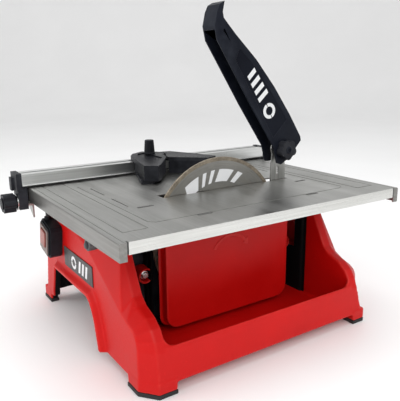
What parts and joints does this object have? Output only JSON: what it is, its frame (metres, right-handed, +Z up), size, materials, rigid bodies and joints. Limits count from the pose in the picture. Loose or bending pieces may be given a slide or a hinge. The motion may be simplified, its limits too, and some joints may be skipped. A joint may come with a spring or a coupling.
{
  "type": "tile cutter",
  "caption": "Tabletop wet tile saw: steel table over a moulded water base, vertical diamond blade, swing-up guard, sliding fence with mitre gauge.",
  "frame": {"origin": "on the floor plane under the middle of the whole saw's box, which is also the middle of its four feet", "axes": "+X across the blade to the operator's right, +Y away from the operator along the blade, +Z up"},
  "size_m": [0.328, 0.42, 0.3766],
  "materials": {
    "red_plastic": "glossy moulded ABS",
    "black_plastic": "satin glass-filled nylon",
    "grey_plastic": "satin",
    "rocker_plastic": "glossy",
    "rubber": "matte",
    "stainless": "brushed sheet",
    "steel": "turned and ground",
    "zinc_steel": "bright zinc plated",
    "aluminium": "natural anodised extrusion",
    "diamond": "sintered diamond in bronze, matte"
  },
  "bodies": {
    "base": {"base_housing": "red_plastic", "rubber_feet": "rubber", "badge_plate": "grey_plastic", "motor_plate": "black_plastic", "motor_housing": "black_plastic", "motor_cap": "grey_plastic", "front_bearing": "steel", "rear_bearing": "steel", "blade_cover": "red_plastic", "cover_screws": "zinc_steel", "knife_bracket": "steel", "riving_knife": "steel", "knife_screws": "zinc_steel", "guard_rivet": "zinc_steel", "pivot_ears": "red_plastic", "pivot_pins": "zinc_steel", "switch_box": "black_plastic", "switch_plate": "grey_plastic", "switch_lead": "rubber", "cord_gland": "black_plastic", "cord_inlet": "rubber"},
    "spindle": {"arbor_shaft": "steel", "inner_flange": "steel", "outer_flange": "steel", "arbor_nut": "zinc_steel", "blade_core": "steel", "diamond_rim": "diamond"},
    "guard": {"guard_shell": "black_plastic"},
    "guard_knob": {"guard_knob": "black_plastic"},
    "table": {"table_top": "stainless", "tilt_bracket_front": "red_plastic", "tilt_bracket_rear": "red_plastic"},
    "bevel_knob_front": {"bevel_knob_front": "grey_plastic"},
    "bevel_knob_rear": {"bevel_knob_rear": "grey_plastic"},
    "fence": {"fence_rail": "aluminium", "fence_front_clamp": "black_plastic", "fence_rear_clamp": "black_plastic", "fence_jaws": "steel"},
    "fence_knob_front": {"fence_knob_front": "black_plastic"},
    "fence_knob_rear": {"fence_knob_rear": "black_plastic"},
    "gauge": {"gauge_head": "black_plastic"},
    "gauge_arm": {"gauge_arm": "black_plastic"},
    "gauge_knob": {"gauge_knob": "black_plastic"},
    "rocker": {"switch_rocker": "rocker_plastic"},
    "drain_plug": {"drain_plug": "rubber"}
  },
  "joints": [
    {"name": "blade_spin", "type": "hinge", "parent": "base", "child": "spindle", "pos_m": [0.0458, 0.0039, 0.1167], "axis": [1, 0, 0], "continuous": true},
    {"name": "guard_swing", "type": "hinge", "parent": "base", "child": "guard", "pos_m": [0.0458, 0.095, 0.209], "axis": [1, 0, 0], "range_deg": [0, 56]},
    {"name": "guard_knob_turn", "type": "hinge", "parent": "base", "child": "guard_knob", "pos_m": [0.0626, 0.095, 0.209], "axis": [1, 0, 0], "range_deg": [0, 270]},
    {"name": "table_bevel", "type": "hinge", "parent": "base", "child": "table", "pos_m": [0.05, 0, 0.163], "axis": [0, 1, 0], "range_deg": [0, 45]},
    {"name": "bevel_knob_front_turn", "type": "hinge", "parent": "base", "child": "bevel_knob_front", "pos_m": [0.064, -0.16, 0.138], "axis": [0, 1, 0], "range_deg": [0, 180]},
    {"name": "bevel_knob_rear_turn", "type": "hinge", "parent": "base", "child": "bevel_knob_rear", "pos_m": [0.064, 0.16, 0.138], "axis": [0, 1, 0], "range_deg": [0, 180]},
    {"name": "fence_slide", "type": "slide", "parent": "table", "child": "fence", "axis": [1, 0, 0], "range_m": [-0.04, 0.008]},
    {"name": "fence_knob_front_turn", "type": "hinge", "parent": "fence", "child": "fence_knob_front", "pos_m": [-0.103, -0.2, 0.1505], "axis": [0, 1, 0], "range_deg": [0, 270]},
    {"name": "fence_knob_rear_turn", "type": "hinge", "parent": "fence", "child": "fence_knob_rear", "pos_m": [-0.103, 0.2, 0.1505], "axis": [0, 1, 0], "range_deg": [0, 270]},
    {"name": "gauge_slide", "type": "slide", "parent": "fence", "child": "gauge", "axis": [0, 1, 0], "range_m": [-0.08, 0.06]},
    {"name": "mitre_swing", "type": "hinge", "parent": "gauge", "child": "gauge_arm", "pos_m": [-0.103, -0.007, 0.188], "axis": [0, 0, 1], "range_deg": [0, 30]},
    {"name": "gauge_knob_turn", "type": "hinge", "parent": "gauge", "child": "gauge_knob", "pos_m": [-0.103, -0.007, 0.19], "axis": [0, 0, 1], "range_deg": [0, 270]},
    {"name": "switch_rock", "type": "hinge", "parent": "base", "child": "rocker", "pos_m": [-0.07773, -0.1662, 0.10803], "axis": [0.9744, 0, -0.225], "range_deg": [-8, 8]},
    {"name": "drain_plug_pull", "type": "slide", "parent": "base", "child": "drain_plug", "axis": [-1, 0, 0], "range_m": [0, 0.025]}
  ]
}
